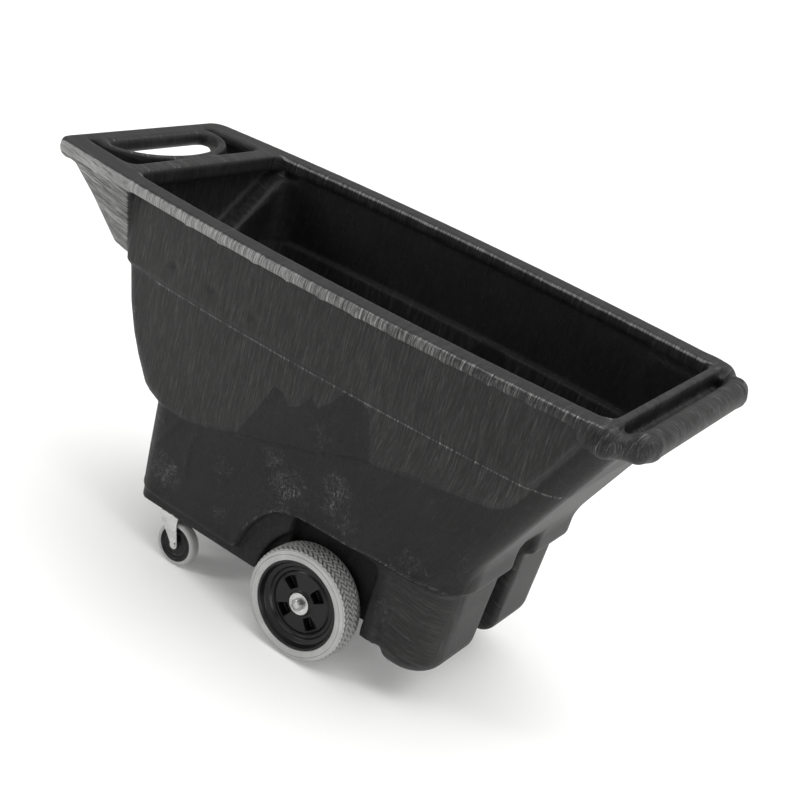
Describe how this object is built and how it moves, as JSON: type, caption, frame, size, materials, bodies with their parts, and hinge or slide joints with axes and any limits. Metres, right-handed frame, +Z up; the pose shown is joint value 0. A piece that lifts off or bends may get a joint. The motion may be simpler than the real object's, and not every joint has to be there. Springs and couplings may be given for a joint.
{
  "type": "tilt truck",
  "caption": "Moulded plastic waste tilt truck: deep hopper with a push handle and pouring bar, on two large side wheels and two swivel casters.",
  "frame": {"origin": "on the ground under the middle of the overall box; the main axle is 191 mm ahead of it", "axes": "+X towards the pouring front, +Y to the left, +Z up"},
  "size_m": [1.778, 0.8006, 0.98],
  "materials": {
    "tub_plastic": "black rotomoulded polyethylene, brushed flow streaks and scuffed rim",
    "grey_rubber": "light grey non-marking rubber",
    "hub_plastic": "black moulded polypropylene, satin",
    "zinc": "bright zinc plate",
    "steel": "drawn steel bar",
    "nylon": "natural nylon",
    "brass_insert": "machined brass"
  },
  "bodies": {
    "truck": {"axle": "steel", "axle_strap_bolts": "zinc", "axle_strap_inserts": "brass_insert", "caster_plate_bolts": "zinc", "caster_plate_inserts": "brass_insert", "left_axle_nut": "zinc", "left_axle_spacer": "zinc", "left_axle_strap": "zinc", "left_caster_plate": "zinc", "left_kingpin": "zinc", "left_wheel_washer": "zinc", "right_axle_nut": "zinc", "right_axle_spacer": "zinc", "right_axle_strap": "zinc", "right_caster_plate": "zinc", "right_kingpin": "zinc", "right_wheel_washer": "zinc", "tub": "tub_plastic"},
    "right_wheel": {"right_wheel_rim": "hub_plastic", "right_wheel_tyre": "grey_rubber", "right_wheel_bushes": "nylon"},
    "right_swivel": {"right_caster_fork": "zinc", "right_caster_sleeve": "steel", "right_caster_bolt": "zinc", "right_caster_nut": "zinc", "right_swivel_balls": "steel"},
    "right_caster_wheel": {"right_caster_core": "hub_plastic", "right_caster_tyre": "grey_rubber"},
    "left_wheel": {"left_wheel_rim": "hub_plastic", "left_wheel_tyre": "grey_rubber", "left_wheel_bushes": "nylon"},
    "left_swivel": {"left_caster_fork": "zinc", "left_caster_sleeve": "steel", "left_caster_bolt": "zinc", "left_caster_nut": "zinc", "left_swivel_balls": "steel"},
    "left_caster_wheel": {"left_caster_core": "hub_plastic", "left_caster_tyre": "grey_rubber"}
  },
  "joints": [
    {"name": "right_wheel_spin", "type": "hinge", "parent": "truck", "child": "right_wheel", "pos_m": [0.191, -0.308, 0.1524], "axis": [0, 1, 0], "continuous": true},
    {"name": "right_caster_swivel", "type": "hinge", "parent": "truck", "child": "right_swivel", "pos_m": [-0.284, -0.269, 0.142], "axis": [0, 0, 1], "continuous": true},
    {"name": "right_caster_roll", "type": "hinge", "parent": "right_swivel", "child": "right_caster_wheel", "pos_m": [-0.248, -0.269, 0.0625], "axis": [0, 1, 0], "continuous": true},
    {"name": "left_wheel_spin", "type": "hinge", "parent": "truck", "child": "left_wheel", "pos_m": [0.191, 0.308, 0.1524], "axis": [0, 1, 0], "continuous": true},
    {"name": "left_caster_swivel", "type": "hinge", "parent": "truck", "child": "left_swivel", "pos_m": [-0.284, 0.269, 0.142], "axis": [0, 0, 1], "continuous": true},
    {"name": "left_caster_roll", "type": "hinge", "parent": "left_swivel", "child": "left_caster_wheel", "pos_m": [-0.248, 0.269, 0.0625], "axis": [0, 1, 0], "continuous": true}
  ]
}
